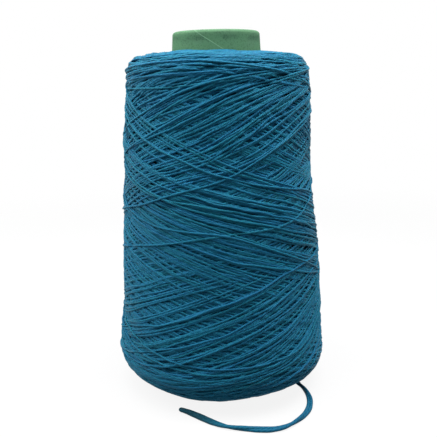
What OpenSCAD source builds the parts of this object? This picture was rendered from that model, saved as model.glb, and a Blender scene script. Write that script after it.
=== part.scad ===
// A cone of yarn: a tapered paperboard cone, a package of yarn cross-wound on it,
// and the yarn's loose end lying on the surface that the cone stands on.
// Millimetres. +Z runs up the cone's axis, and the origin is the centre of its base.

/* [Paper cone] */
// Length of the cone from base to nose
cone_length = 168; // [166:1:230]
// Outer diameter of the nose
nose_d = 39.5; // [34:0.5:60]
// Taper of the side from the axis, in degrees
half_angle = 3.5; // [2:0.05:6]
// Thickness of the paperboard wall
cone_wall = 3; // [2:0.1:4]
// Thickness of the turned-in nose, from the outside to the bore
lip_wall = 4.25; // [4:0.05:7]
// Length of the bore in the turned-in nose
lip_length = 8; // [5:0.5:16]
// Length of the slope from the bore back to the wall
lip_slope = 4; // [2:0.5:10]
// Radius of the nose's rounded rims
nose_round = 1.6; // [0.8:0.1:1.9]
// Bevel on the two edges of the base
base_bevel = 0.5; // [0.2:0.1:0.9]

/* [Package] */
// Bare cone below the yarn
base_margin = 5; // [4:0.5:12]
// Height of the wound yarn at its outside
traverse = 152; // [100:1:154]
// Thickness of the yarn on the cone
build = 21; // [17:0.5:45]
// Radius of the rounded edge at the base of the package
base_round = 14; // [10:0.5:18]
// Radius of the rounded shoulder at the top of the package
shoulder_round = 7; // [6.5:0.5:12]
// Rise of the top of the package from its shoulder to the cone
top_rise = 2; // [0.5:0.1:4]
// Room between the yarn and the cone that it is wound on
wind_clearance = 0.05; // [0.02:0.01:0.2]

/* [Outer winding] */
// Diameter of the yarn on the package
yarn_d = 1.2; // [0.8:0.1:2]
// Double strokes of the winding, each up the package and down again
double_stroke_count = 8; // [4:1:8]
// Whole turns that a double stroke falls just short of
wrap_count = 3; // [2:1:4]
// How far the winding laps over the base edge, in degrees of its rounding
lap_base = 60; // [45:1:64]
// How far the winding laps over the shoulder, in degrees of its rounding
lap_top = 56; // [45:1:60]
// Room between the winding and the layers below it
seat_gap = 0.05; // [0.02:0.01:0.3]
// Room between turns where they cross
cross_gap = 0.4; // [0.2:0.05:1]

/* [Yarn tail] */
// Diameter of the yarn where it lies loose
tail_d = 2; // [1.2:0.1:2]

/* [Hidden] */
$fn = 96;

// Points round the section of a tube, and rings in each turn of the winding
winding_sides = 6;
rings_per_turn = 24;
tail_sides = 8;
// Rings of the tail for each stretch between two points of its route
tail_steps = 2;

// Steps of a rounded edge in an outline, and the angle where the end faces of the package start
arc_steps = 12;
face_angle = 72;

// The yarn's loose end: out of the underside of the package, down, and along the surface
tail_route = [
    [33, 4, 4.2], [33.1, 2.7, 3.1], [33.2, 1.1, 2.1], [33.5, -1, 1.4], [33.9, -3.4, 1.1],
    [34.6, -6.6, 1], [35.4, -10, 1], [36.2, -13.4, 1], [37.3, -17, 1], [38.9, -21.2, 1],
    [40, -26.1, 1], [40.4, -31.1, 1], [39.8, -36, 1], [38.4, -40.9, 1], [35.9, -45.7, 1],
    [32.6, -49.8, 1], [28.6, -53.3, 1], [24.5, -55.5, 1], [19.7, -56.5, 1], [14.6, -56.5, 1],
    [9.5, -55.8, 1], [4.7, -54.8, 1], [0.4, -53.2, 1], [-3.6, -50.7, 1], [-7.5, -47.9, 1],
    [-11.8, -44.6, 1], [-16, -41.4, 1], [-19.8, -38.7, 1],
];

// Radii of the cone's outside and inside at a height
function cone_r(z) = nose_d / 2 + (cone_length - z) * tan(half_angle);
function hollow_r(z) = cone_r(z) - cone_wall / cos(half_angle);
bore_r = nose_d / 2 - lip_wall;

// Radius of the package's side at a height
function package_r(z) = cone_r(z) + build / cos(half_angle);
package_top = base_margin + traverse;

// A point at a distance and angle from a centre in an outline
function polar(centre, r, angle) = centre + r * [cos(angle), sin(angle)];

// Centres of the package's two rounded edges, which its side touches
base_centre_z = base_margin + base_round;
base_centre = [package_r(base_centre_z) - base_round / cos(half_angle), base_centre_z];
top_centre_z = package_top - shoulder_round;
top_centre = [package_r(top_centre_z) - shoulder_round / cos(half_angle), top_centre_z];

// The winding's two crossing layers. A chord between two rings dips below its ends by the sag.
chord_sag = package_r(base_margin) * (1 - cos(180 / rings_per_turn));
inner_height = seat_gap + chord_sag + yarn_d / 2;
outer_height = inner_height + yarn_d + cross_gap + chord_sag;
winding_thickness = outer_height + yarn_d / 2;

// Radii of the rounded edges of the layers below the winding
core_base_round = base_round - winding_thickness;
core_top_round = shoulder_round - winding_thickness;

// Lengths of the line that the winding follows from base to top: edge, side, shoulder
edge_length = core_base_round * (lap_base + half_angle) * PI / 180;
shoulder_length = core_top_round * (lap_top - half_angle) * PI / 180;
side_start = polar(base_centre, core_base_round, half_angle);
side_end = polar(top_centre, core_top_round, half_angle);
side_length = norm(side_end - side_start);
line_length = edge_length + side_length + shoulder_length;

// Radius and height of a point that is a length up that line and a distance out from it
function line_point(up, out) =
    up < edge_length
        ? polar(base_centre, core_base_round + out, up / core_base_round * 180 / PI - lap_base)
    : up < edge_length + side_length
        ? polar(side_start + (side_end - side_start) * (up - edge_length) / side_length,
                out, half_angle)
        : polar(top_centre, core_top_round + out,
                (up - edge_length - side_length) / core_top_round * 180 / PI + half_angle);

// Turns in one stroke. Each double stroke starts an even share of a turn before the last one.
turns_per_stroke = (wrap_count - 1 / double_stroke_count) / 2;
strokes = 2 * double_stroke_count;
// Half the width of a reversal: a share of the room to its neighbour, and then of a stroke
reversal_share = 0.4;
reversal = reversal_share / double_stroke_count / turns_per_stroke;

// How far up its stroke the yarn is, from 0 at the base to 1 at the top, rounded at each reversal
function folded(s) = let (t = s % 2) t > 1 ? 2 - t : t;
function rounded(t) = t < reversal ? (t * t + reversal * reversal) / (2 * reversal) : t;
function stroke_share(s) =
    let (t = folded(s), r = t < 0.5 ? rounded(t) : 1 - rounded(1 - t))
    (r - reversal / 2) / (1 - reversal);

// Which layer the yarn is in: 0 on its way up and 1 on its way down, changing over at a reversal
function smooth(x) = let (t = min(1, max(0, x))) t * t * (3 - 2 * t);
function layer(s) =
    let (t = s % 2)
    t < 0.5 ? 1 - smooth((t + reversal) / (2 * reversal))
    : t < 1.5 ? smooth((t - 1 + reversal) / (2 * reversal))
    : 1 - smooth((t - 2 + reversal) / (2 * reversal));

function winding_point(s) =
    let (p = line_point(stroke_share(s) * line_length,
                        inner_height + (outer_height - inner_height) * layer(s)),
         turn = 360 * turns_per_stroke * s)
    [p[0] * cos(turn), p[0] * sin(turn), p[1]];

winding_rings = floor((strokes - 2 * reversal) * turns_per_stroke * rings_per_turn);
winding_step = (strokes - 2 * reversal) / winding_rings;
winding_route = [for (i = [0:winding_rings]) winding_point(reversal + i * winding_step)];

// The closest that two straight pieces come, each given by its start and its run
function unit_share(x) = min(1, max(0, x));
function closest(p, u, q, v) =
    let (a = u * u, b = u * v, c = v * v, w = p - q, d = u * w, e = v * w,
         flat = max(a * c - b * b, 0.000001),
         s = unit_share((b * e - c * d) / flat),
         t = unit_share((a * e - b * d) / flat))
    norm(w + s * u - t * v);

// The least gap of a tube to itself, among pieces that are over a quarter turn apart along it
function least_gap(route, d, apart, reach) =
    let (last = len(route) - 2)
    min([for (i = [0:last - apart], j = [i + apart:last])
         if (norm(route[i] - route[j]) < reach)
             closest(route[i], route[i + 1] - route[i], route[j], route[j + 1] - route[j])]) - d;

// A smooth curve through the points of a route, in steps between each two of them
function curve_point(a, b, c, d, t) =
    0.5 * (2 * b + (c - a) * t + (2 * a - 5 * b + 4 * c - d) * t * t
           + (3 * b - a - 3 * c + d) * t * t * t);
function smooth_route(points, steps) =
    let (last = len(points) - 1)
    [for (i = [0:last - 1], k = [0:steps - 1])
         curve_point(points[max(i - 1, 0)], points[i],
                     points[i + 1], points[min(i + 2, last)], k / steps),
     points[last]];

// Directions along a route, and for each a direction across it that turns no more than it must
function unit(v) = v / norm(v);
function headings(route) =
    let (last = len(route) - 1)
    [for (i = [0:last]) unit(route[min(i + 1, last)] - route[max(i - 1, 0)])];
function across(v, heading) = unit(v - heading * (v * heading));
function sides_along(along, start) =
    [for (i = 0, v = across(start, along[0]);
          i < len(along);
          i = i + 1, v = i < len(along) ? across(v, along[i]) : v) v];

// One unbroken tube along a route, with flat ends
module tube(route, d, sides, start) {
    along = headings(route);
    side = sides_along(along, start);
    points = [
        for (i = [0:len(route) - 1], k = [0:sides - 1])
            let (angle = 360 * k / sides)
            route[i] + d / 2 * (cos(angle) * side[i] + sin(angle) * cross(along[i], side[i]))
    ];
    end = len(points) - sides;
    walls = [
        for (i = [0:len(route) - 2], k = [0:sides - 1])
            let (a = i * sides + k, b = i * sides + (k + 1) % sides)
            each [[a, b + sides, b], [a, a + sides, b + sides]]
    ];
    ends = [for (k = [1:sides - 2]) each [[0, k, k + 1], [end, end + k + 1, end + k]]];
    polyhedron(points, concat(walls, ends));
}

// Points of a rounded edge in an outline, from one angle to another
function edge(centre, r, from, to) =
    [for (i = [0:arc_steps]) polar(centre, r, from + (to - from) * i / arc_steps)];

// The cone: one wall from the base to a rounded nose, which is turned in to a short straight bore
module paper_cone() {
    rim_z = cone_length - nose_round;
    outer_rim = [cone_r(rim_z) - nose_round / cos(half_angle), rim_z];
    inner_rim = [bore_r + nose_round, rim_z];
    lip_z = cone_length - lip_length;
    slope_z = lip_z - lip_slope;
    color([0.36, 0.53, 0.41])
        rotate_extrude() {
            polygon([
                [hollow_r(0) + base_bevel, 0],
                [cone_r(0) - base_bevel, 0],
                [cone_r(base_bevel), base_bevel],
                polar(outer_rim, nose_round, half_angle),
                outer_rim + [0, nose_round],
                inner_rim + [0, nose_round],
                inner_rim - [nose_round, 0],
                [bore_r, lip_z],
                [hollow_r(slope_z), slope_z],
                [hollow_r(base_bevel), base_bevel],
            ]);
            translate(outer_rim) circle(nose_round);
            translate(inner_rim) circle(nose_round);
        }
}

// The inner layers of the package, set back where the outer winding lies on them
module wound_yarn() {
    base_face_r = polar(base_centre, base_round, -face_angle)[0];
    top_z = package_top + top_rise;
    color([0.1, 0.33, 0.44])
        rotate_extrude()
            polygon(concat(
                [[cone_r(base_margin) + wind_clearance, base_margin], [base_face_r, base_margin]],
                edge(base_centre, core_base_round, -face_angle, half_angle),
                edge(top_centre, core_top_round, half_angle, face_angle),
                [[top_centre[0], package_top], [cone_r(top_z) + wind_clearance, top_z]]
            ));
}

// The outer layer: one yarn, wound up and down the package, each way down crossing over the ways up
module outer_winding() {
    apart = rings_per_turn / 4;
    reach = 3 * norm(winding_route[1] - winding_route[0]);
    echo(winding_turns = turns_per_stroke * (strokes - 2 * reversal));
    echo(winding_gap = least_gap(winding_route, yarn_d, apart, reach));
    color([0.13, 0.4, 0.52])
        tube(winding_route, yarn_d, winding_sides, [1, 0, 0]);
}

// The loose end of the yarn
module yarn_tail() {
    color([0.13, 0.4, 0.52])
        tube(smooth_route(tail_route, tail_steps), tail_d, tail_sides, [1, 0, 0]);
}

paper_cone();
wound_yarn();
outer_winding();
yarn_tail();
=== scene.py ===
import math

import bpy
import numpy as np
from mathutils import Matrix, Vector


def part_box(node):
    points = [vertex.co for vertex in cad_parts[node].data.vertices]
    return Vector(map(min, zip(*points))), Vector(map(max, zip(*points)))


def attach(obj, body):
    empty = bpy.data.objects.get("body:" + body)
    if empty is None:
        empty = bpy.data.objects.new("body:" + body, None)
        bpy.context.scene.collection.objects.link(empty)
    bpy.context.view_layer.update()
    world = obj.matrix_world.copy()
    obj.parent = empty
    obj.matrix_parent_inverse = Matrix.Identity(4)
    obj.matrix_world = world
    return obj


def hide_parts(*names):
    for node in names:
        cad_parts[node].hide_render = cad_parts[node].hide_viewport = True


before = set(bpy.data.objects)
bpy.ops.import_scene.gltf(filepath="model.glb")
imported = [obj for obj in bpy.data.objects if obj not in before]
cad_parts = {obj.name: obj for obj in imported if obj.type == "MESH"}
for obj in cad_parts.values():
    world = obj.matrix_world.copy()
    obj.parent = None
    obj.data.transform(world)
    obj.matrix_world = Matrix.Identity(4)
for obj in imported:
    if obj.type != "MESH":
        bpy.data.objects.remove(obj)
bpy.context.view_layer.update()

MM = 0.001
TURN = 2 * math.pi

# The camera's place, tilt and lens, in the photograph's square frame
CAMERA_AT = (-0.45, -295.5, 148.5)
CAMERA_DOWN = math.radians(12.895)
CAMERA_ROLL = math.radians(1.083)
FRAME_PX = 437
FOCAL_PX = 623.2
SENSOR = 36.0

# The cone and the package, with the package's outside as a smooth outline
CONE_HIGH = np.array(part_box("paper_cone")[1]) / MM
YARN_LOW, YARN_HIGH = (np.array(corner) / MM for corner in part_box("wound_yarn"))
HALF_ANGLE = math.radians(3.5)
TAPER = math.tan(HALF_ANGLE)
BUILD = 21.2
BASE_ROUND = 14.0
SHOULDER_ROUND = 7.0
TOP_RISE = 2.0
BASE_Z = YARN_LOW[2]
TOP_Z = YARN_HIGH[2] - TOP_RISE
ARC_POINTS = 60
OUTLINE_STEP = 0.25

# Heights above the package's base where the end faces' turns end, and between which strokes turn
# back, and how far along the outline the yarn keeps off the cone
SHOULDER_HEIGHT = TOP_Z - BASE_Z
FACE_HEIGHTS = (1.5, SHOULDER_HEIGHT - 0.8)
BASE_TURN_HEIGHTS = (2, 24)
TOP_TURN_HEIGHTS = (SHOULDER_HEIGHT + 0.1, 138)
EDGE = 1.0

# The yarn on the package, flattened a little by its tension, and how it swells and thins
YARN_WIDTH = 1.0
YARN_HEIGHT = 0.75
YARN_SIDES = 5
SWELL = 0.07
SWELL_SMOOTH = 9
END_SWELL = 0.02

# How the yarn lies: the share of its width that rests on what is below, how far it sinks in, the
# share left of what stands out when it is pressed down, how sharply it bends up, and the length in
# which a stroke leaves the height of the one before
GRIP = 0.6
GRIP_POINTS = 5
SINK, PRESS = 0.42, 0.22
LAST_SINK, LAST_PRESS = 0.2, 0.6
BRIDGE_RADIUS = 4.0
JOIN = 6.0

# The map of how high the yarn stands: its columns round the package, and the gap between its rows
MAP_COLUMNS = 900
MAP_ROW_GAP = 0.35

# How deep below the outline the winding starts, how many rows each side are levelled together, how
# far below the outline the strands lie in the mean, and the inner layers below them all
LAY_DEPTH = 5.0
SHALLOWEST, DEEPEST = 0.5, 8.0
DEPTH_ROWS, LEVEL_ROWS = 12, 6
LEVEL_BELOW = 0.75
CORE_BELOW = 0.2
CORE_STEPS = 90
CORE_SIDES = 128

# The winding: double strokes, each just short of a whole number of turns, so that each lies a step
# back from the one before. The steps are uneven, and the turning points stray, a few of them far.
DOUBLE_STROKES = 250
WHOLE_TURNS = 3
STEP_BACK = math.radians(2.92)
STEP_UNEVEN = (0.7, 1.3)
STEP_STRAY = math.radians(3)
STEP_STRAY_TAIL = 1.5
STEP_STRAY_MOST = math.radians(36)
TURN_SPREAD = (1.2, 1.5)
BASE_EASE = math.radians(60)
TOP_EASE = math.radians(120)
SPIN = -1
SEED = 19
FACE_SEED, LUMP_SEED, SWELL_SEED, SHOULDER_SEED = range(SEED + 1, SEED + 5)

# How far the strokes hang below an even climb, and about which share of the way up
SAG = 6.5
SAG_AT = 0.72
SAG_REACH = 0.15

# The step between the points where the yarn is laid, how many such steps apart the rings of its tube
# are, on top and deeper down, and the pieces that the strokes are cut into, which lap by some points
LAY_STEP = 0.5
RING_STEPS = 2
DEEP_RING_STEPS = 5
STROKES_ON_TOP = 250
STROKES_IN_PIECE = 28
OVERLAP = 8

# How the strokes of one direction stray together in slow waves, and each by itself in little ones
WAVES = 8
WAVE_ROUNDS = (1, 4)
WAVE_LENGTHS = (40, 150)
STRAY = 0.3
STRAY_KEPT = 0.94
RIPPLES = 4
RIPPLE = 0.12
RIPPLE_LENGTHS = (14, 60)

# Turns lying in waves round the end faces, and round the shoulder some strokes before the last ones
FACE_TURNS = 12
FACE_WAVE = 1.6
SHOULDER_TURNS = 12
SHOULDER_LOW = 139
SHOULDER_WAVE = 0.9
SHOULDER_TILT = 5.0
SHOULDER_BEFORE = 6
ROUND_WAVES = 6
WAVES_PER_TURN = (0.3, 2.4)

# Swellings of the package, each with its turn in degrees, its height above the base, its spreads round
# and up, and its rise, and then small lumps all over it
SWELLINGS = [
    (95, 153, 50, 9, 0.7),
    (-92, 153, 45, 8, 1.1),
    (8, 156, 20, 5, 0.8),
    (85, 36, 30, 18, 0.8),
    (75, 13, 35, 12, 1.2),
    (-85, 116, 25, 6, 0.5),
    (-85, 26, 30, 10, 0.7),
]
LUMPS = 14
LUMP = 0.1
LUMP_ROUNDS = (1, 6)
LUMP_LENGTHS = (20, 90)

# Where the even winding ends, in degrees of turn, and the turning points of the last strokes after it,
# each with its turn and height. The newest two strokes meet near the base in front.
EVEN_END = 5397
LAST_TURNS = [
    (4740, 147), (4212, 13), (3574, 150), (3060, 45), (2638, 149), (2020, 14), (1530, 147), (1010, 14),
    (520, 141), (0, 20.7), (-575, 150),
]

# Places where single strokes are seen: which stroke from the last, then turns in degrees and heights
# above the base. A stroke is moved to pass through them, and is back on its own way after the fade.
SEEN = [
    (10, [(-10, 32.5), (10, 39), (30, 46.5), (50, 53), (60, 55.5)]),
    (9, [(-10, 73), (0, 69.3), (10, 66.4), (30, 63), (50, 57.8), (60, 55.3)]),
    (8, [(-66, 68.3), (-50, 71.5), (-15, 76.6), (30, 80), (45, 82), (67, 90)]),
    (7, [(-28, 92.7), (-10, 88.8), (5, 85.5), (20, 83)]),
    (6, [(-58, 32.5), (-40, 36), (-20, 41.5), (0, 49), (20, 53.7), (38, 59.5)]),
    (5, [(-68, 86), (-40, 81.3), (5, 79)]),
    (4, [(-20, 22.3), (0, 30.5), (20, 37.2), (40, 42.8), (70, 50.5)]),
    (3, [(-68, 108.7), (-50, 104.3), (-22, 96.3)]),
    (2, [(-70, 85.9), (-50, 88.7), (-10, 98.8), (20, 108.6), (50, 119.1), (66, 123.3)]),
    (2, [(0, 20.7), (20, 20.9), (40, 22.9), (50, 24.8), (68, 31.5)]),
    (1, [(-66, 30.6), (-50, 27.6), (-30, 22.9), (0, 20.7)]),
    (1, [(-67, 126.4), (-50, 119.2), (0, 103.4), (20, 99.2), (70, 91.5)]),
]
SEEN_FADE = math.radians(70)
SEEN_SMOOTH = 61

# The loose end's route, as in the CAD model, and its two plies, which thin and swell a little, have
# a knob near the cut end and close at their ends
TAIL_ROUTE = [
    (33, 4, 4.2), (33.1, 2.7, 3.1), (33.2, 1.1, 2.1), (33.5, -1, 1.4), (33.9, -3.4, 1.1),
    (34.6, -6.6, 1), (35.4, -10, 1), (36.2, -13.4, 1), (37.3, -17, 1), (38.9, -21.2, 1),
    (40, -26.1, 1), (40.4, -31.1, 1), (39.8, -36, 1), (38.4, -40.9, 1), (35.9, -45.7, 1),
    (32.6, -49.8, 1), (28.6, -53.3, 1), (24.5, -55.5, 1), (19.7, -56.5, 1), (14.6, -56.5, 1),
    (9.5, -55.8, 1), (4.7, -54.8, 1), (0.4, -53.2, 1), (-3.6, -50.7, 1), (-7.5, -47.9, 1),
    (-11.8, -44.6, 1), (-16, -41.4, 1), (-19.8, -38.7, 1),
]
TAIL_STEPS = 6
TAIL_SIDES = 10
PLY_WIDTH = 1.75
PLY_OFFSET = 0.62
PLY_PITCH = 54.0
PLY_START = math.radians(75)
PLY_THIN, PLY_THIN_LENGTH = 0.06, 19
KNOB, KNOB_AT, KNOB_REACH = 0.3, 111, 8
TAIL_TIP = (0.9, 0.05)

# Colours, as light they give back, the darker tones of the inner layers and the loose end, which are
# painted shade, and how much and between which places across the picture the loose end darkens
# further, also painted shade
TEAL = (0.01, 0.16, 0.305)
TEAL_GREEN = (0.009, 0.186, 0.268)
TEAL_DEEP = (0.0003, 0.068, 0.2)
INNER_SHADE_TONE = 0.7
TAIL_SHADE_TONE = 0.8
TAIL_END_SHADE = (0.004, 0.05, 0.068)
TAIL_SHADE_SPAN, TAIL_SHADE_SHARE = (4 * MM, -12 * MM), 0.8
BOARD = (0.112, 0.266, 0.134)
BOARD_WORN_AND_HIGHLIGHT = (0.126, 0.243, 0.146)
BOARD_EDGE = (0.22, 0.43, 0.26)
BOARD_DARK = (0.03, 0.09, 0.05)

# The yarn's pattern: its plies, the length from ply to ply along it, its fibres across a ply and along
# a metre, how often its colour drifts in a metre, and a usual length once round the package. A range
# says between which values of a pattern a colour comes in, and a share how much of it.
PLIES = 3
PLY_STEP = 2.6
FIBRES_ACROSS, FIBRES_ALONG = 7.0, 260.0
DRIFTS_ALONG = 9.0
LAP = 0.3
HUE_RANGE = (0.35, 0.65)
# The grooves between the plies take the deep colour as painted shade; the fibres darken at random.
GROOVE_SHADE_RANGE, GROOVE_SHADE_SHARE = (0.8, 0.1), 0.45
FIBRE_RANGE, FIBRE_SHARE = (0.55, 0.3), 0.25
FIBRE_HEIGHT = 0.35

# The board's worn clouds and dark specks, with how many there are in a metre
CLOUDS, SPECKS = 150.0, 1500.0
CLOUD_RANGE, CLOUD_SHARE = (0.42, 0.7), 0.35
SPECK_RANGE, SPECK_SHARE = (0.52, 0.25), 0.5

# The board's painted light and shade and its paper edge, in metres below the nose's top: the paler rim,
# a painted highlight; the dark band under it, painted shade; and a pale paper edge that falls as the
# turn grows, with its middle turn, its reach round and its width
RIM_HIGHLIGHT, RIM_HIGHLIGHT_SHARE = (2.2 * MM, 0.4 * MM), 0.2
BAND_TOP, BAND_FOOT = (1.6 * MM, 3.0 * MM), (5.6 * MM, 3.4 * MM)
BAND_RANGE, BAND_SHARES = (0.4, 0.62), (0.15, 0.5)
SLANT_FROM, SLANT_TURN = 1.5 * MM, -0.4
SLANT_FALL = 12.6 * MM
SLANT_MIDDLE, SLANT_REACH = -0.1, (0.5, 0.3)
SLANT_WIDTH = (0.32 * MM, 0.08 * MM)
SLANT_SHARE, SLANT_HEIGHT = 0.75, 1.5

# The studio, in metres: the floor's size, its colour as it throws light back and as it is seen, how
# white it is seen, where it fades, the light all round, and the lamps' places, aims, sizes and watts
FLOOR_SIZE = 8
FLOOR = (0.2, 0.2, 0.2)
FLOOR_SEEN = (0.9, 0.9, 0.9)
FLOOR_WHITE = 0.88
FLOOR_FADE = (0.6, 0.2)
AMBIENT = (0.13, 0.134, 0.14)
WHITE = (1, 1, 1)
LAMPS = [
    ("top", (0, -0.07, 0.52), (0, 0, 0.12), 0.5, 3.35),
    ("left", (-0.5, -0.08, 0.5), (0, 0, 0.14), 0.4, 1.55),
    ("left_back", (-0.55, 0.1, 0.4), (0, 0, 0.13), 0.4, 0.9),
    ("right", (0.24, -0.03, 0.52), (0, 0, 0.17), 0.2, 1.05),
]

# Gaps below which points are one, and a ring that is only there to turn a section round, in metres
MERGE_GAP = 0.01 * MM
AXIS_RADIUS = 0.01 * MM


# Lines

def lengths_along(points):
    """How far along a line each of its points is."""
    return np.concatenate([[0], np.cumsum(np.linalg.norm(np.diff(points, axis=0), axis=1))])


def headings(points):
    """A line's direction at each of its points."""
    heading = np.gradient(points, axis=0)
    return heading / np.linalg.norm(heading, axis=1)[:, None]


# The package's outline

def cone_radius(z):
    return CONE_HIGH[0] - z * TAPER


def package_radius(z):
    return cone_radius(z) + BUILD / math.cos(HALF_ANGLE)


def package_outline():
    """Evenly spaced points up the package's outline, from the cone at its base to the cone at its
    top: how far up it each is, its radius and height, and the outward normal there."""
    low_z = BASE_Z + BASE_ROUND
    high_z = TOP_Z - SHOULDER_ROUND
    low_r = package_radius(low_z) - BASE_ROUND / math.cos(HALF_ANGLE)
    high_r = package_radius(high_z) - SHOULDER_ROUND / math.cos(HALF_ANGLE)
    slope = math.atan2(TOP_RISE, high_r - cone_radius(YARN_HIGH[2]))
    points = [(cone_radius(BASE_Z), BASE_Z)]
    for middle_r, middle_z, radius, start, end in (
            (low_r, low_z, BASE_ROUND, -math.pi / 2, HALF_ANGLE),
            (high_r, high_z, SHOULDER_ROUND, HALF_ANGLE, math.pi / 2 - slope)):
        for angle in np.linspace(start, end, ARC_POINTS):
            points.append((middle_r + radius * math.cos(angle), middle_z + radius * math.sin(angle)))
    points.append((cone_radius(YARN_HIGH[2]), YARN_HIGH[2]))
    points = np.array(points)
    lengths = lengths_along(points)
    at = np.linspace(0, lengths[-1], int(lengths[-1] / OUTLINE_STEP) + 1)
    line = np.stack([np.interp(at, lengths, points[:, k]) for k in (0, 1)], axis=1)
    heading = headings(line)
    return at, line, np.stack([heading[:, 1], -heading[:, 0]], axis=1)


OUTLINE_AT, OUTLINE, OUTLINE_NORMAL = package_outline()
OUTLINE_LENGTH = OUTLINE_AT[-1]


def up_at(height):
    """How far up the outline a height above the package's base is."""
    return float(np.interp(BASE_Z + height, OUTLINE[:, 1], OUTLINE_AT))


def radius_at(up):
    return np.interp(up, OUTLINE_AT, OUTLINE[:, 0])


def on_package(turn, up, out):
    """Points at a turn, a length up the outline and a height out from it, and the normals there."""
    z = np.interp(up, OUTLINE_AT, OUTLINE[:, 1])
    normal_r = np.interp(up, OUTLINE_AT, OUTLINE_NORMAL[:, 0])
    normal_z = np.interp(up, OUTLINE_AT, OUTLINE_NORMAL[:, 1])
    size = np.hypot(normal_r, normal_z)
    normal_r, normal_z = normal_r / size, normal_z / size
    r = radius_at(up) + out * normal_r
    points = np.stack([r * np.sin(turn), -r * np.cos(turn), z + out * normal_z], axis=-1)
    normals = np.stack([normal_r * np.sin(turn), -normal_r * np.cos(turn), normal_z], axis=-1)
    return points, normals


LOW_EDGE, HIGH_EDGE = EDGE, OUTLINE_LENGTH - EDGE
BASE_FACE, TOP_FACE = (up_at(height) for height in FACE_HEIGHTS)
BASE_TURNS = [up_at(height) for height in BASE_TURN_HEIGHTS]
TOP_TURNS = [up_at(height) for height in TOP_TURN_HEIGHTS]


# Laying the yarn

class Package:
    """How high the yarn lies at each turn and length up the outline, as it is wound."""

    def __init__(self, rng, depth):
        self.rows = int(OUTLINE_LENGTH / MAP_ROW_GAP) + 2
        turn = np.linspace(0, TURN, MAP_COLUMNS, endpoint=False)[:, None]
        up = np.arange(self.rows)[None, :] * MAP_ROW_GAP
        self.lumps = np.zeros((MAP_COLUMNS, self.rows))
        for _ in range(LUMPS):
            rounds = rng.integers(*LUMP_ROUNDS)
            wave = rng.uniform(*LUMP_LENGTHS)
            self.lumps += rng.normal(0, LUMP) * np.sin(
                rounds * turn + TURN * up / wave + rng.uniform(0, TURN))
        for at, height, spread_turn, spread_up, rise in SWELLINGS:
            off = (turn - math.radians(at) + math.pi) % TURN - math.pi
            self.lumps += rise * np.exp(-(off / math.radians(spread_turn)) ** 2
                                        - ((up - up_at(height)) / spread_up) ** 2)
        self.depth = np.broadcast_to(depth, self.rows)
        self.high = self.lumps - self.depth
        across = np.linspace(-GRIP, GRIP, GRIP_POINTS)
        self.across = across * YARN_WIDTH / 2
        self.crown = np.sqrt(1 - across ** 2) * YARN_HEIGHT / 2

    def cells(self, turn, up):
        """The cells under the yarn's width at each point of its route."""
        r = radius_at(up)
        run = np.gradient(turn) * r
        climb = np.gradient(up)
        size = np.hypot(run, climb)
        column = (turn[:, None] - (climb / size / r)[:, None] * self.across) / TURN * MAP_COLUMNS
        row = (up[:, None] + (run / size)[:, None] * self.across) / MAP_ROW_GAP
        column = np.floor(column).astype(int) % MAP_COLUMNS
        return column, np.clip(np.round(row).astype(int), 0, self.rows - 1)

    def lay(self, turn, up, share, first=None, sink=SINK, press=PRESS):
        """Lays yarn along a route: it sinks a little into what is there, pulls straight over dips, and
        is pressed down where it stands above the height that this share of the winding should have."""
        column, row = self.cells(turn, up)
        rest = (self.high[column, row] + self.crown).max(axis=1) - sink
        middle = len(self.across) // 2
        level = self.lumps[column[:, middle], row[:, middle]]
        level = level - self.depth[row[:, middle]] * (1 - share) - YARN_HEIGHT / 2
        over = rest - level
        rest = level + np.where(over > 0, press * over, over)
        ahead = passed(turn, up)
        if first is not None:
            fade = np.clip(1 - ahead / JOIN, 0, 1)
            rest = rest * (1 - fade) + first * fade
        out = taut(ahead, rest)
        np.maximum.at(self.high, (column, row), out[:, None] + self.crown)
        return out


def passed(turn, up):
    """Lengths along a route."""
    steps = np.hypot(np.diff(turn) * radius_at(up[1:]), np.diff(up))
    return np.concatenate([[0], np.cumsum(steps)])


def taut(ahead, rest):
    """The lowest line over the rests that never bends up more sharply than the bridge radius."""
    bend = ahead ** 2 / (2 * BRIDGE_RADIUS)
    lifted = rest - bend
    hull = []
    for x, y in zip(ahead.tolist(), lifted.tolist()):
        while len(hull) > 1:
            (x1, y1), (x0, y0) = hull[-1], hull[-2]
            if (y1 - y0) * (x - x0) > (y - y0) * (x1 - x0):
                break
            hull.pop()
        hull.append((x, y))
    hull = np.array(hull)
    return np.interp(ahead, hull[:, 0], hull[:, 1]) + bend


# The winding's routes

class Stray:
    """Slow waves that push the strokes of one direction up and down together, and change slowly."""

    def __init__(self, rng):
        self.rng = rng
        self.rounds = rng.integers(*WAVE_ROUNDS, WAVES)
        self.wave = TURN / rng.uniform(*WAVE_LENGTHS, WAVES)
        self.start = rng.uniform(0, TURN, WAVES)
        self.size = rng.normal(0, STRAY, WAVES)

    def push(self, turn, up):
        fresh = self.rng.normal(0, STRAY, WAVES)
        self.size = STRAY_KEPT * self.size + math.sqrt(1 - STRAY_KEPT ** 2) * fresh
        waves = np.sin(self.rounds * turn[:, None] + self.wave * up[:, None] + self.start)
        return waves @ self.size


def ripple(ahead, rng):
    """Little waves of one stroke."""
    total = np.zeros(len(ahead))
    for _ in range(RIPPLES):
        total += rng.normal(0, RIPPLE) * np.sin(
            TURN * ahead / rng.uniform(*RIPPLE_LENGTHS) + rng.uniform(0, TURN))
    return total


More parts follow.
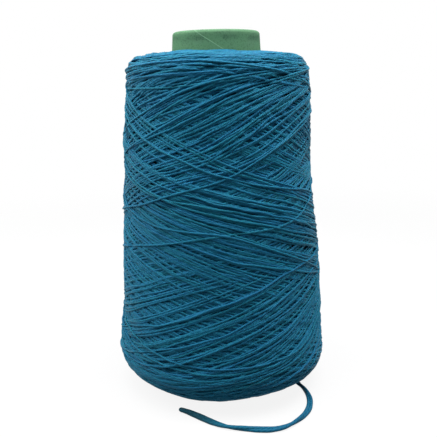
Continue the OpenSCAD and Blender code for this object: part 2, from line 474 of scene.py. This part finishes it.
def stroke_route(turn_from, turn_to, up_from, up_to):
    """One stroke of the winding, from reversal to reversal, easing out of one and into the other, and
    how far it is out of both."""
    start, end = (BASE_EASE, TOP_EASE) if up_to > up_from else (TOP_EASE, BASE_EASE)
    span = abs(turn_to - turn_from)
    whole = span - (start + end) / 2
    count = int(span * radius_at(0.5 * (up_from + up_to)) / LAY_STEP)
    gone = np.linspace(0, span, count)
    left = span - gone
    ease = np.where(gone < start, gone ** 2 / (2 * start), gone - start / 2)
    ease = np.where(left < end, whole - left ** 2 / (2 * end), ease)
    up = up_from + (up_to - up_from) * ease / whole
    share = (up - BASE_TURNS[0]) / (TOP_TURNS[0] - BASE_TURNS[0])
    up = up - SAG * np.exp(-((share - SAG_AT) / SAG_REACH) ** 2)
    return turn_from + SPIN * gone, up, np.clip(np.minimum(gone / start, left / end), 0, 1)


def through(turn, up, places):
    """A route moved to pass through places, given by their turns in degrees and heights."""
    at = np.radians([place[0] for place in places])
    wanted = np.array([up_at(place[1]) for place in places])
    first_lap = math.ceil((turn.min() - at.min()) / TURN)
    last_lap = math.floor((turn.max() - at.max()) / TURN)
    routes = {lap: np.interp(at + lap * TURN, turn[::-1], up[::-1])
              for lap in range(first_lap, last_lap + 1)}
    lap = min(routes, key=lambda k: abs(wanted - routes[k]).mean())
    at = at + lap * TURN
    ends = np.concatenate([[at[0] - SEEN_FADE], at, [at[-1] + SEEN_FADE]])
    push = np.concatenate([[0], wanted - routes[lap], [0]])
    moved = np.interp(turn, ends, push)
    window = np.hanning(SEEN_SMOOTH) / np.hanning(SEEN_SMOOTH).sum()
    return up + np.convolve(np.pad(moved, SEEN_SMOOTH // 2, mode="edge"), window, mode="valid")


def turning_points(rng):
    """Turns and lengths up the outline where the winding turns back, from its first to its last."""
    turns = [0.0]
    ups = [BASE_TURNS[0]]
    for stroke in range(2 * DOUBLE_STROKES):
        near, far = TOP_TURNS if stroke % 2 == 0 else BASE_TURNS
        span = WHOLE_TURNS * TURN / 2 - STEP_BACK / 2 * rng.uniform(*STEP_UNEVEN)
        turns.append(turns[-1] + SPIN * span)
        ups.append(near + (far - near) * rng.beta(*TURN_SPREAD))
    turns = np.array(turns) - turns[-1] + math.radians(EVEN_END)
    stray = STEP_STRAY * rng.standard_t(STEP_STRAY_TAIL, len(turns) - 1)
    turns[:-1] += np.clip(stray, -STEP_STRAY_MOST, STEP_STRAY_MOST)
    last_turns = np.radians([turn for turn, _ in LAST_TURNS])
    return np.concatenate([turns, last_turns]), ups + [up_at(height) for _, height in LAST_TURNS]


def stroke_routes():
    """Routes of all the strokes, in order."""
    rng = np.random.default_rng(SEED)
    turns, ups = turning_points(rng)
    strays = (Stray(rng), Stray(rng))
    count = len(ups) - 1
    routes = []
    for k in range(count):
        turn, up, fade = stroke_route(turns[k], turns[k + 1], ups[k], ups[k + 1])
        up = up + fade * (strays[k % 2].push(turn, up) + ripple(passed(turn, up), rng))
        for back, places in SEEN:
            if count - back == k:
                up = through(turn, up, places)
        routes.append((turn, np.clip(up, LOW_EDGE, HIGH_EDGE)))
    return routes


def round_route(up_from, up_to, turns, wave, tilt, rng):
    """Turns of yarn lying round the package in waves, and raised by the tilt in front."""
    count = int(turns * TURN * radius_at(0.5 * (up_from + up_to)) / LAY_STEP)
    gone = np.linspace(0, turns * TURN, count)
    up = np.linspace(up_from, up_to, count)
    for _ in range(ROUND_WAVES):
        up = up + rng.normal(0, wave) * np.sin(
            gone * rng.uniform(*WAVES_PER_TURN) + rng.uniform(0, TURN))
    turn = rng.uniform(0, TURN) + SPIN * gone
    return turn, np.clip(up + tilt * np.cos(turn), LOW_EDGE, HIGH_EDGE)


def face_routes():
    """Turns that lie round the two end faces, below the strokes."""
    rng = np.random.default_rng(FACE_SEED)
    return [round_route(*ends, FACE_TURNS, FACE_WAVE, 0, rng)
            for ends in ((LOW_EDGE, BASE_FACE), (BASE_FACE, LOW_EDGE),
                         (HIGH_EDGE, TOP_FACE), (TOP_FACE, HIGH_EDGE))]


def shoulder_routes():
    """Turns that lie round the shoulder, near the end of the winding."""
    rng = np.random.default_rng(SHOULDER_SEED)
    low = up_at(SHOULDER_LOW)
    return [round_route(*ends, SHOULDER_TURNS, SHOULDER_WAVE, SHOULDER_TILT, rng)
            for ends in ((low, TOP_FACE), (TOP_FACE, low))]


def wind(faces, shoulder, strokes, depth):
    """Lays the end faces' turns and then the strokes, with the shoulder's turns before the last of
    them, and adds to each route how far out it lies."""
    package = Package(np.random.default_rng(LUMP_SEED), depth)

    def lay_rounds(routes):
        return [(turn, up, package.lay(turn, up, 1)) for turn, up in routes]

    rounds = lay_rounds(faces)
    laid = []
    first = None
    for k, (turn, up) in enumerate(strokes):
        to_come = len(strokes) - len(LAST_TURNS) - k
        if to_come == SHOULDER_BEFORE:
            rounds += lay_rounds(shoulder)
        hold = (SINK, PRESS) if to_come > 0 else (LAST_SINK, LAST_PRESS)
        out = package.lay(turn, up, k / len(strokes), first, *hold)
        laid.append((turn, up, out))
        first = out[-1]
    return rounds, laid, package


def near_rows(values, reach):
    """The mean of each row's value and of those near it."""
    window = np.ones(2 * reach + 1) / (2 * reach + 1)
    return np.convolve(np.pad(values, reach, mode="edge"), window, mode="valid")


def wind_level():
    """Winds twice: first to see how high the yarn builds at each place, then from a start just as
    deep. What still stands out or lies low is shifted, so that the package has its outline."""
    routes = face_routes(), shoulder_routes(), stroke_routes()
    package = wind(*routes, LAY_DEPTH)[2]
    built = near_rows(package.high.mean(axis=0) + LAY_DEPTH, DEPTH_ROWS)
    depth = np.clip(built, SHALLOWEST, DEEPEST)
    rounds, strokes, package = wind(*routes, depth)
    rows = np.arange(package.rows) * MAP_ROW_GAP
    below = LEVEL_BELOW * np.interp(rows, OUTLINE_AT, OUTLINE_NORMAL[:, 0])
    off = near_rows((package.high - package.lumps).mean(axis=0) + below, LEVEL_ROWS)
    rounds, strokes = ([(turn, up, out - np.interp(up, rows, off)) for turn, up, out in laid]
                       for laid in (rounds, strokes))
    return rounds, strokes, rows, depth + off


# Node helpers

def add(tree, kind, inputs=None, **values):
    """A new node with its settings, and its inputs set or linked by name or number."""
    node = tree.nodes.new(kind)
    for name, value in values.items():
        setattr(node, name, value)
    for name, value in (inputs or {}).items():
        if isinstance(value, bpy.types.NodeSocket):
            tree.links.new(value, node.inputs[name])
        else:
            node.inputs[name].default_value = value
    return node


def found(tree, kind):
    """A tree's node of a kind."""
    return next(node for node in tree.nodes if node.type == kind)


def maths(tree, operation, *values):
    return add(tree, "ShaderNodeMath", dict(enumerate(values)), operation=operation).outputs[0]


def blend(tree, share, low, high):
    """A colour between two, each given by a socket or by its parts."""
    low, high = (colour if isinstance(colour, bpy.types.NodeSocket) else (*colour, 1)
                 for colour in (low, high))
    return add(tree, "ShaderNodeMix", {0: share, 6: low, 7: high}, data_type="RGBA").outputs[2]


def ranged(tree, value, low, high, to_low=0.0, to_high=1.0):
    """A value taken smoothly from one range to another."""
    inputs = {"Value": value, "From Min": low, "From Max": high, "To Min": to_low, "To Max": to_high}
    return add(tree, "ShaderNodeMapRange", inputs, interpolation_type="SMOOTHSTEP").outputs[0]


def noise(tree, place, scale, detail):
    return add(tree, "ShaderNodeTexNoise", {"Vector": place, "Scale": scale, "Detail": detail}).outputs[0]


def object_place(tree):
    return add(tree, "ShaderNodeTexCoord").outputs["Object"]


def new_look(name, colours):
    """A shader node group that takes colours and gives a colour and a height, and its sockets."""
    tree = bpy.data.node_groups.new(name, "ShaderNodeTree")
    for colour in colours:
        tree.interface.new_socket(colour, in_out="INPUT", socket_type="NodeSocketColor")
    tree.interface.new_socket("Colour", in_out="OUTPUT", socket_type="NodeSocketColor")
    tree.interface.new_socket("Height", in_out="OUTPUT", socket_type="NodeSocketFloat")
    return tree, tree.nodes.new("NodeGroupInput").outputs, tree.nodes.new("NodeGroupOutput").inputs


def new_material(name, roughness, specular):
    material = bpy.data.materials.new(name)
    material.use_nodes = True
    tree = material.node_tree
    shader = found(tree, "BSDF_PRINCIPLED")
    shader.inputs["Roughness"].default_value = roughness
    shader.inputs["Specular IOR Level"].default_value = specular
    return material, tree, shader


def put_on(tree, shader, look, colours, bump_strength, bump_depth):
    """Gives a material a look with its own colours, and the look's height as a bump."""
    node = add(tree, "ShaderNodeGroup", {part: (*colour, 1) for part, colour in colours.items()},
               node_tree=look)
    bump = add(tree, "ShaderNodeBump", {"Strength": bump_strength, "Distance": bump_depth,
                                        "Height": node.outputs["Height"]})
    tree.links.new(node.outputs["Colour"], shader.inputs["Base Color"])
    tree.links.new(bump.outputs["Normal"], shader.inputs["Normal"])


# Looks

def yarn_look():
    """Colour and height of plied yarn, from a map of how far round and along it each place is."""
    tree, given, made = new_look("plied_yarn", ("Blue", "Green", "Deep"))
    place = add(tree, "ShaderNodeUVMap", uv_map="yarn_map").outputs["UV"]
    around, along, _ = add(tree, "ShaderNodeSeparateXYZ", {0: place}).outputs
    twist = maths(tree, "ADD", maths(tree, "MULTIPLY", around, PLIES),
                  maths(tree, "MULTIPLY", along, 1 / (PLY_STEP * MM)))
    ply = maths(tree, "SINE", maths(tree, "MULTIPLY", maths(tree, "FRACT", twist), math.pi))
    fibre_place = add(tree, "ShaderNodeCombineXYZ",
                      {0: maths(tree, "MULTIPLY", twist, FIBRES_ACROSS),
                       1: maths(tree, "MULTIPLY", along, FIBRES_ALONG)}).outputs[0]
    drift_place = add(tree, "ShaderNodeCombineXYZ",
                      {0: maths(tree, "MULTIPLY", along, DRIFTS_ALONG)}).outputs[0]
    fibre = noise(tree, fibre_place, scale=1.0, detail=3.0)
    drift = noise(tree, drift_place, scale=1.0, detail=2.0)
    # Painted shade in the grooves between the plies, and fibres darkened at random.
    shade = maths(tree, "ADD", ranged(tree, ply, *GROOVE_SHADE_RANGE, to_high=GROOVE_SHADE_SHARE),
                  ranged(tree, fibre, *FIBRE_RANGE, to_high=FIBRE_SHARE))
    colour = blend(tree, ranged(tree, drift, *HUE_RANGE), given["Blue"], given["Green"])
    colour = blend(tree, shade, colour, given["Deep"])
    height = maths(tree, "ADD", ply, maths(tree, "MULTIPLY", fibre, FIBRE_HEIGHT))
    tree.links.new(colour, made["Colour"])
    tree.links.new(height, made["Height"])
    return tree


def yarn_material(name, look, tone):
    material, tree, shader = new_material(name, roughness=0.55, specular=0.13)
    colours = {"Blue": TEAL, "Green": TEAL_GREEN, "Deep": TEAL_DEEP}
    toned = {part: [tone * level for level in colour] for part, colour in colours.items()}
    put_on(tree, shader, look, toned, bump_strength=0.6, bump_depth=0.12 * MM)
    shader.inputs["Sheen Weight"].default_value = 0.18
    shader.inputs["Sheen Roughness"].default_value = 0.4
    shader.inputs["Sheen Tint"].default_value = (0.2, 0.85, 0.9, 1)
    return material


def tail_material(look):
    """The yarn's look, darker and greener towards the loose end: painted shade."""
    material = yarn_material("teal_yarn_tail", look, TAIL_SHADE_TONE)
    tree = material.node_tree
    base = found(tree, "BSDF_PRINCIPLED").inputs["Base Color"]
    colour = base.links[0].from_socket
    x = add(tree, "ShaderNodeSeparateXYZ", {0: object_place(tree)}).outputs["X"]
    # Painted shade towards the loose end.
    near_end = ranged(tree, x, *TAIL_SHADE_SPAN, to_high=TAIL_SHADE_SHARE)
    tree.links.new(blend(tree, near_end, colour, TAIL_END_SHADE), base)
    return material


def board_look():
    """Colour and height of dyed paperboard, specked with dark and with wear in clouds, paler at the nose's
    rim as a painted highlight, with a dark cloudy band under the rim as painted shade, and a pale paper
    edge that slants across."""
    tree, given, made = new_look("dyed_board", ("Board", "Worn_and_highlight", "Edge", "Dark"))
    place = object_place(tree)
    x, y, z = add(tree, "ShaderNodeSeparateXYZ", {0: place}).outputs
    below = maths(tree, "SUBTRACT", float(CONE_HIGH[2]) * MM, z)
    turn = maths(tree, "ARCTAN2", x, maths(tree, "MULTIPLY", y, -1.0))
    cloud = noise(tree, place, scale=CLOUDS, detail=4.0)
    speck = noise(tree, place, scale=SPECKS, detail=2.0)
    # Worn in clouds, and paler at the rim as a painted highlight.
    wear_and_highlight = maths(tree, "ADD", ranged(tree, below, *RIM_HIGHLIGHT, to_high=RIM_HIGHLIGHT_SHARE),
                 ranged(tree, cloud, *CLOUD_RANGE, to_high=CLOUD_SHARE))
    # A darker cloudy band under the rim, painted shade below the rounding; the dark specks are the board's
    # own.
    band = maths(tree, "MULTIPLY", ranged(tree, below, *BAND_TOP), ranged(tree, below, *BAND_FOOT))
    dark = maths(tree, "ADD", ranged(tree, speck, *SPECK_RANGE, to_high=SPECK_SHARE),
                 maths(tree, "MULTIPLY", band, ranged(tree, cloud, *BAND_RANGE, *BAND_SHARES)))
    fall = maths(tree, "MULTIPLY", maths(tree, "SUBTRACT", turn, SLANT_TURN), SLANT_FALL)
    slant = maths(tree, "ADD", SLANT_FROM, fall)
    off = maths(tree, "ABSOLUTE", maths(tree, "SUBTRACT", below, slant))
    away = maths(tree, "ABSOLUTE", maths(tree, "SUBTRACT", turn, SLANT_MIDDLE))
    edge = maths(tree, "MULTIPLY", ranged(tree, away, *SLANT_REACH), ranged(tree, off, *SLANT_WIDTH))
    colour = blend(tree, wear_and_highlight, given["Board"], given["Worn_and_highlight"])
    colour = blend(tree, dark, colour, given["Dark"])
    colour = blend(tree, maths(tree, "MULTIPLY", edge, SLANT_SHARE), colour, given["Edge"])
    height = maths(tree, "ADD", speck, maths(tree, "MULTIPLY", edge, SLANT_HEIGHT))
    tree.links.new(colour, made["Colour"])
    tree.links.new(height, made["Height"])
    return tree


def board_material():
    material, tree, shader = new_material("green_board", roughness=0.85, specular=0.25)
    colours = {"Board": BOARD, "Worn_and_highlight": BOARD_WORN_AND_HIGHLIGHT, "Edge": BOARD_EDGE, "Dark": BOARD_DARK}
    put_on(tree, shader, board_look(), colours, bump_strength=0.4, bump_depth=0.08 * MM)
    return material


# Geometry trees

def new_tree(name, inputs):
    """A geometry tree that takes and gives a geometry, with more inputs given as name and kind, and
    its sockets."""
    tree = bpy.data.node_groups.new(name, "GeometryNodeTree")
    tree.interface.new_socket("Geometry", in_out="OUTPUT", socket_type="NodeSocketGeometry")
    for socket, kind in [("Geometry", "Geometry"), *inputs]:
        tree.interface.new_socket(socket, in_out="INPUT", socket_type="NodeSocket" + kind)
    return tree, tree.nodes.new("NodeGroupInput").outputs, tree.nodes.new("NodeGroupOutput").inputs


def named(tree, name, kind):
    return add(tree, "GeometryNodeInputNamedAttribute", {"Name": name}, data_type=kind).outputs["Attribute"]


def captured(tree, geometry, name, value):
    """A geometry with a value kept on its points, and that value further on."""
    node = tree.nodes.new("GeometryNodeCaptureAttribute")
    node.capture_items.new("FLOAT", name)
    tree.links.new(geometry, node.inputs["Geometry"])
    tree.links.new(value, node.inputs[name])
    return node.outputs["Geometry"], node.outputs[name]


def mapped(tree, geometry, around, along):
    """A mesh with a map of how far round and along the yarn each place is."""
    place = add(tree, "ShaderNodeCombineXYZ", {0: around, 1: along}).outputs[0]
    return add(tree, "GeometryNodeStoreNamedAttribute",
               {"Geometry": geometry, "Name": "yarn_map", "Value": place},
               data_type="FLOAT2", domain="CORNER").outputs[0]


def end_tree(tree, geometry, given, made):
    """Ends a tree: smooth, real, and with its material."""
    smooth = add(tree, "GeometryNodeSetShadeSmooth", {"Geometry": geometry}).outputs[0]
    real = add(tree, "GeometryNodeRealizeInstances", {"Geometry": smooth}).outputs[0]
    final = add(tree, "GeometryNodeSetMaterial", {"Geometry": real, "Material": given["Material"]})
    tree.links.new(final.outputs[0], made["Geometry"])


def yarn_tree():
    """A tube of yarn along each line of a mesh, thick as the line's swell attribute, flattened along
    its lie attribute, with a map of how far round and along the yarn each place is."""
    tree, given, made = new_tree("yarn_along_lines", [("Width", "Float"), ("Height", "Float"),
                                                      ("Sides", "Int"), ("Material", "Material")])
    lines = add(tree, "GeometryNodeMeshToCurve", {"Mesh": given["Geometry"]}).outputs["Curve"]
    lie = named(tree, "lie", "FLOAT_VECTOR")
    lines = add(tree, "GeometryNodeSetCurveNormal", {"Curve": lines, "Normal": lie}, mode="FREE").outputs[0]
    length = tree.nodes.new("GeometryNodeSplineParameter").outputs["Length"]
    lines, along = captured(tree, lines, "Along", length)

    points = maths(tree, "ADD", given["Sides"], 1.0)
    section = add(tree, "GeometryNodeCurveArc", {"Resolution": points, "Radius": 0.5, "Sweep Angle": TURN})
    part = tree.nodes.new("GeometryNodeSplineParameter").outputs["Factor"]
    section, around = captured(tree, section.outputs["Curve"], "Around", part)
    stretch = add(tree, "ShaderNodeCombineXYZ", {0: given["Height"], 1: given["Width"], 2: 1.0}).outputs[0]
    section = add(tree, "GeometryNodeTransform", {"Geometry": section, "Scale": stretch}).outputs[0]

    tube = add(tree, "GeometryNodeCurveToMesh", {"Curve": lines, "Profile Curve": section,
                                                 "Scale": named(tree, "swell", "FLOAT")}).outputs[0]
    tube = mapped(tree, tube, around, along)
    closed = add(tree, "GeometryNodeMergeByDistance", {"Geometry": tube, "Distance": MERGE_GAP}).outputs[0]
    end_tree(tree, closed, given, made)
    return tree


def turned_tree():
    """A body turned round the upright axis from a closed section line, drawn outwards along X and
    down along Y, with a map of yarn lying round it."""
    tree, given, made = new_tree("turned_body", [("Steps", "Int"), ("Yarn", "Float"),
                                                 ("Material", "Material")])
    length = tree.nodes.new("GeometryNodeSplineParameter").outputs["Length"]
    section = add(tree, "GeometryNodeMeshToCurve", {"Mesh": given["Geometry"]}).outputs["Curve"]
    section, up = captured(tree, section, "Up", length)
    ring = add(tree, "GeometryNodeCurvePrimitiveCircle",
               {"Resolution": given["Steps"], "Radius": AXIS_RADIUS}).outputs["Curve"]
    factor = tree.nodes.new("GeometryNodeSplineParameter").outputs["Factor"]
    ring, lap = captured(tree, ring, "Lap", factor)
    body = add(tree, "GeometryNodeCurveToMesh", {"Curve": ring, "Profile Curve": section}).outputs[0]
    body = mapped(tree, body, maths(tree, "DIVIDE", up, given["Yarn"]), maths(tree, "MULTIPLY", lap, LAP))
    end_tree(tree, body, given, made)
    return tree


def grown(name, mesh, tree, **values):
    """A plain mesh piece that a geometry tree makes from a mesh."""
    source = bpy.data.objects.new(name, mesh)
    bpy.context.scene.collection.objects.link(source)
    modifier = source.modifiers.new("grow", "NODES")
    modifier.node_group = tree
    for item in tree.interface.items_tree:
        if item.in_out == "INPUT" and item.name in values:
            modifier[item.identifier] = values[item.name]
    graph = bpy.context.evaluated_depsgraph_get()
    finished = bpy.data.meshes.new_from_object(source.evaluated_get(graph))
    source.modifiers.clear()
    source.data = finished
    finished.name = name
    bpy.data.meshes.remove(mesh)
    return source


# Pieces

def line_mesh(lines):
    """A mesh of open lines, each given by its points, the way up of its section, and its swell."""
    mesh = bpy.data.meshes.new("lines")
    points, lie, swell = (np.concatenate(values) for values in zip(*lines))
    ends = np.cumsum([len(line[0]) for line in lines]) - 1
    starts = np.setdiff1d(np.arange(len(points)), ends)
    mesh.from_pydata(points.tolist(), np.stack([starts, starts + 1], axis=1).tolist(), [])
    mesh.attributes.new("lie", "FLOAT_VECTOR", "POINT").data.foreach_set("vector", lie.ravel())
    mesh.attributes.new("swell", "FLOAT", "POINT").data.foreach_set("value", swell)
    return mesh


def yarn_line(routes, ring_steps, rng):
    """One unbroken line in metres along routes that each start where the last one ended."""
    parts = []
    for k, (turn, up, out) in enumerate(routes):
        keep = np.unique(np.append(np.arange(0, len(turn), ring_steps), len(turn) - 1))
        keep = keep[1:] if k else keep
        points, lie = on_package(turn[keep], up[keep], out[keep])
        parts.append((points * MM, lie))
    points, lie = (np.concatenate(values) for values in zip(*parts))
    window = np.hanning(SWELL_SMOOTH)
    window /= np.linalg.norm(window)
    uneven = np.convolve(rng.normal(0, SWELL, len(points) + SWELL_SMOOTH - 1), window, mode="valid")
    swell = 1 + np.clip(uneven, -2 * SWELL, 2 * SWELL)
    swell[[0, -1]] = END_SWELL
    return points, lie, swell


def smooth_line(points, steps):
    """A smooth curve through points."""
    points = np.array(points, float)
    padded = np.concatenate([points[:1], points, points[-1:]])
    t = (np.arange(steps) / steps)[:, None]
    parts = []
    for a, b, c, d in zip(padded, padded[1:], padded[2:], padded[3:]):
        parts.append(0.5 * (2 * b + (c - a) * t + (2 * a - 5 * b + 4 * c - d) * t ** 2
                            + (3 * b - a - 3 * c + d) * t ** 3))
    return np.concatenate(parts + [points[-1:]])


def tail_lines(centre):
    """Lines of two plies that turn slowly round each other along the tail, on or above the floor."""
    ahead = lengths_along(centre)
    heading = headings(centre)
    side = np.cross(heading, (0, 0, 1.0))
    side /= np.linalg.norm(side, axis=1)[:, None]
    up = np.cross(side, heading)
    swell = 1 - PLY_THIN * np.sin(TURN * ahead / PLY_THIN_LENGTH) ** 2
    swell += KNOB * np.exp(-((ahead - KNOB_AT) / KNOB_REACH) ** 2)
    closed = swell.copy()
    closed[-2:] = TAIL_TIP
    closed[0] = TAIL_TIP[-1]
    lines = []
    for ply in (0, 1):
        angle = PLY_START + TURN * ahead / PLY_PITCH + ply * math.pi
        out = np.cos(angle)[:, None] * side + np.sin(angle)[:, None] * up
        points = centre + PLY_OFFSET * out
        points[:, 2] = np.maximum(points[:, 2], swell * PLY_WIDTH / 2)
        lines.append((points * MM, out, closed))
    return lines


def core_section(rows, depth):
    """The closed section line, in metres, of the layers below the turns that show: up its outside and
    down the cone."""
    up = np.linspace(0, OUTLINE_LENGTH, CORE_STEPS)
    below = np.interp(up, rows, depth) + CORE_BELOW
    outside, _ = on_package(np.full(CORE_STEPS, TURN / 4), up, -below)
    z = np.linspace(outside[-1, 2], outside[0, 2], CORE_STEPS)
    inside = np.stack([cone_radius(z) + CORE_BELOW, z], axis=1)
    section = np.concatenate([outside[:, [0, 2]], inside]) * MM
    mesh = bpy.data.meshes.new("section")
    count = len(section)
    mesh.from_pydata([(r, -z, 0) for r, z in section], [(k, (k + 1) % count) for k in range(count)], [])
    return mesh


def show_yarn(piece, node):
    """Shows a finished piece of yarn in place of a CAD node."""
    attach(piece, "root")
    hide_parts(node)


def build_tail(tree, material):
    centre = smooth_line(TAIL_ROUTE, TAIL_STEPS)
    tail = grown("yarn_tail_plies", line_mesh(tail_lines(centre)), tree, Width=PLY_WIDTH * MM,
                 Height=PLY_WIDTH * MM, Sides=TAIL_SIDES, Material=material)
    show_yarn(tail, "yarn_tail")


def build_winding(tree, material, rounds, strokes):
    """The turns that lie round the package, and then the strokes, some of them to a piece."""
    rng = np.random.default_rng(SWELL_SEED)

    def build(name, lines):
        piece = grown(name, line_mesh(lines), tree, Width=YARN_WIDTH * MM, Height=YARN_HEIGHT * MM,
                      Sides=YARN_SIDES, Material=material)
        show_yarn(piece, "outer_winding")

    build("yarn_rounds", [yarn_line([route], RING_STEPS, rng) for route in rounds])
    for k in range(0, len(strokes), STROKES_IN_PIECE):
        on_top = k + STROKES_IN_PIECE > len(strokes) - STROKES_ON_TOP
        before = [tuple(values[-OVERLAP:] for values in strokes[k - 1])] if k else []
        line = yarn_line(before + strokes[k:k + STROKES_IN_PIECE],
                         RING_STEPS if on_top else DEEP_RING_STEPS, rng)
        build(f"yarn_strokes_{k // STROKES_IN_PIECE + 1}", [line])


def build_inner_layers(material, rows, depth):
    """The body below the strands, mapped so that a ply of the pattern is as wide as a yarn."""
    inner = grown("yarn_inner_layers", core_section(rows, depth), turned_tree(), Steps=CORE_SIDES,
                  Yarn=PLIES * YARN_WIDTH * MM, Material=material)
    show_yarn(inner, "wound_yarn")


def build_yarn():
    tree = yarn_tree()
    look = yarn_look()
    build_tail(tree, tail_material(look))
    rounds, strokes, rows, depth = wind_level()
    build_winding(tree, yarn_material("teal_yarn", look, 1.0), rounds, strokes)
    # The inner layers are the same yarn in a darker tone: painted shade.
    build_inner_layers(yarn_material("teal_yarn_below_shaded", look, INNER_SHADE_TONE), rows, depth)


def dress_cone():
    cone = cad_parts["paper_cone"]
    cone.data.materials.clear()
    cone.data.materials.append(board_material())


# Studio

def place_camera():
    data = bpy.data.cameras.new("camera")
    data.sensor_width = SENSOR
    data.lens = FOCAL_PX / FRAME_PX * SENSOR
    data.clip_start = 0.01
    data.clip_end = 20
    ahead = Vector((0, math.cos(CAMERA_DOWN), -math.sin(CAMERA_DOWN)))
    right = Vector((1, 0, 0))
    up = right.cross(ahead)
    cosine, sine = math.cos(CAMERA_ROLL), math.sin(CAMERA_ROLL)
    right, up = cosine * right - sine * up, sine * right + cosine * up
    view = Matrix((right, up, -ahead)).transposed().to_4x4()
    view.translation = Vector(CAMERA_AT) * MM
    camera = bpy.data.objects.new("camera", data)
    camera.matrix_world = view
    bpy.context.scene.collection.objects.link(camera)
    bpy.context.scene.camera = camera


def white_ray(tree):
    """1 for the rays that see the ground and backdrop as white: the camera's, and those through or
    mirrored by a surface."""
    path = add(tree, "ShaderNodeLightPath").outputs
    either = maths(tree, "MAXIMUM", path["Is Glossy Ray"], path["Is Transmission Ray"])
    return maths(tree, "MAXIMUM", path["Is Camera Ray"], either)


def place_floor():
    """A floor that is seen as nearly white, with the object's shadow, and fades into the backdrop."""
    bpy.ops.mesh.primitive_plane_add(size=FLOOR_SIZE)
    floor = bpy.context.object
    floor.name = "floor"
    material, tree, shader = new_material("pale_floor", roughness=0.9, specular=0.0)
    seen = white_ray(tree)
    tree.links.new(blend(tree, seen, FLOOR, FLOOR_SEEN), shader.inputs["Base Color"])
    away = add(tree, "ShaderNodeVectorMath", {0: object_place(tree)}, operation="LENGTH").outputs["Value"]
    tree.links.new(ranged(tree, away, *FLOOR_FADE), shader.inputs["Alpha"])
    white = add(tree, "ShaderNodeEmission", {"Color": (*WHITE, 1), "Strength": 1.0})
    both = add(tree, "ShaderNodeMixShader", {0: maths(tree, "MULTIPLY", seen, FLOOR_WHITE),
                                             1: shader.outputs[0], 2: white.outputs[0]})
    tree.links.new(both.outputs[0], found(tree, "OUTPUT_MATERIAL").inputs["Surface"])
    floor.data.materials.append(material)


def place_lights():
    """A soft light all round, white where it is seen, and the lamps."""
    world = bpy.data.worlds.new("studio")
    bpy.context.scene.world = world
    world.use_nodes = True
    tree = world.node_tree
    colour = blend(tree, white_ray(tree), AMBIENT, WHITE)
    tree.links.new(colour, tree.nodes["Background"].inputs["Color"])
    for name, at, aim, size, power in LAMPS:
        light = bpy.data.lights.new(name, "AREA")
        light.size = size
        light.energy = power
        lamp = bpy.data.objects.new(name, light)
        lamp.location = at
        lamp.rotation_euler = (Vector(aim) - Vector(at)).to_track_quat("-Z", "Y").to_euler()
        bpy.context.scene.collection.objects.link(lamp)


place_camera()
place_floor()
place_lights()
dress_cone()
build_yarn()
bpy.context.scene.view_settings.view_transform = "Standard"
